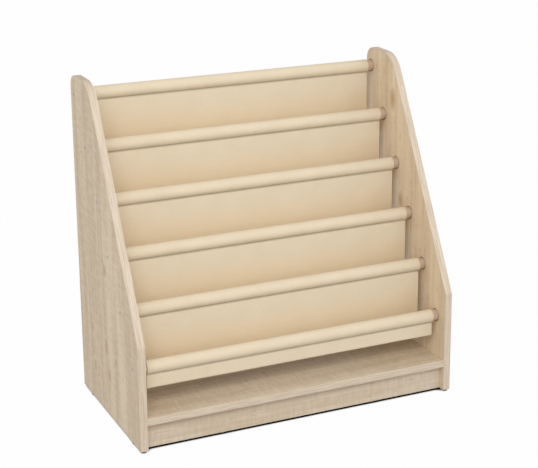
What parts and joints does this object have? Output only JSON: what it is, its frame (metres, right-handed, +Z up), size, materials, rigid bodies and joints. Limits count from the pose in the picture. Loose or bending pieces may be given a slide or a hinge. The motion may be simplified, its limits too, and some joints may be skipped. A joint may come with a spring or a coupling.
{
  "type": "sling bookshelf",
  "caption": "Child's sling bookshelf: cloth pockets hung on round wooden dowels between two sloped side panels, over a low bottom shelf.",
  "frame": {"origin": "on the floor, under the middle of the bookshelf", "axes": "+X to the right as seen from the front, -Y out of the front, +Z up"},
  "size_m": [0.8, 0.42, 0.79],
  "materials": {
    "side_board": "melamine faced particle board, pale maple decor with upright grain, satin",
    "shelf_board": "melamine faced particle board, pale maple decor with grain along the shelf, satin",
    "edging": "plastic edging strip with a pale maple print, satin",
    "beech": "turned beech, sanded, unpainted",
    "cloth": "cream close woven cloth with a smooth coated face",
    "screw_steel": "zinc plated steel, satin",
    "fitting_steel": "zinc plated steel, dull",
    "cam_zinc": "die cast zinc, dull",
    "glide_plastic": "black moulded plastic"
  },
  "bodies": {
    "root": {"side_left": "side_board", "side_edging_left": "edging", "dowel_screw_left_1": "screw_steel", "dowel_screw_left_2": "screw_steel", "dowel_screw_left_3": "screw_steel", "dowel_screw_left_4": "screw_steel", "dowel_screw_left_5": "screw_steel", "dowel_screw_left_6": "screw_steel", "cam_bolt_left_1": "fitting_steel", "cam_bolt_left_2": "fitting_steel", "cam_bolt_left_3": "fitting_steel", "cam_bolt_left_4": "fitting_steel", "cam_left_1": "cam_zinc", "cam_left_2": "cam_zinc", "cam_left_3": "cam_zinc", "cam_left_4": "cam_zinc", "peg_front_plinth_left": "beech", "peg_rear_plinth_left": "beech", "glide_side_left_front": "glide_plastic", "glide_side_left_rear": "glide_plastic", "glide_front_plinth_left": "glide_plastic", "glide_rear_plinth_left": "glide_plastic", "side_right": "side_board", "side_edging_right": "edging", "dowel_screw_right_1": "screw_steel", "dowel_screw_right_2": "screw_steel", "dowel_screw_right_3": "screw_steel", "dowel_screw_right_4": "screw_steel", "dowel_screw_right_5": "screw_steel", "dowel_screw_right_6": "screw_steel", "cam_bolt_right_1": "fitting_steel", "cam_bolt_right_2": "fitting_steel", "cam_bolt_right_3": "fitting_steel", "cam_bolt_right_4": "fitting_steel", "cam_right_1": "cam_zinc", "cam_right_2": "cam_zinc", "cam_right_3": "cam_zinc", "cam_right_4": "cam_zinc", "peg_front_plinth_right": "beech", "peg_rear_plinth_right": "beech", "glide_side_right_front": "glide_plastic", "glide_side_right_rear": "glide_plastic", "glide_front_plinth_right": "glide_plastic", "glide_rear_plinth_right": "glide_plastic", "dowel_1": "beech", "dowel_2": "beech", "dowel_3": "beech", "dowel_4": "beech", "dowel_5": "beech", "dowel_6": "beech", "sling_1": "cloth", "sling_2": "cloth", "sling_3": "cloth", "sling_4": "cloth", "sling_5": "cloth", "bottom_shelf": "shelf_board", "shelf_edging": "edging", "front_plinth": "shelf_board", "rear_plinth": "shelf_board"}
  },
  "joints": []
}
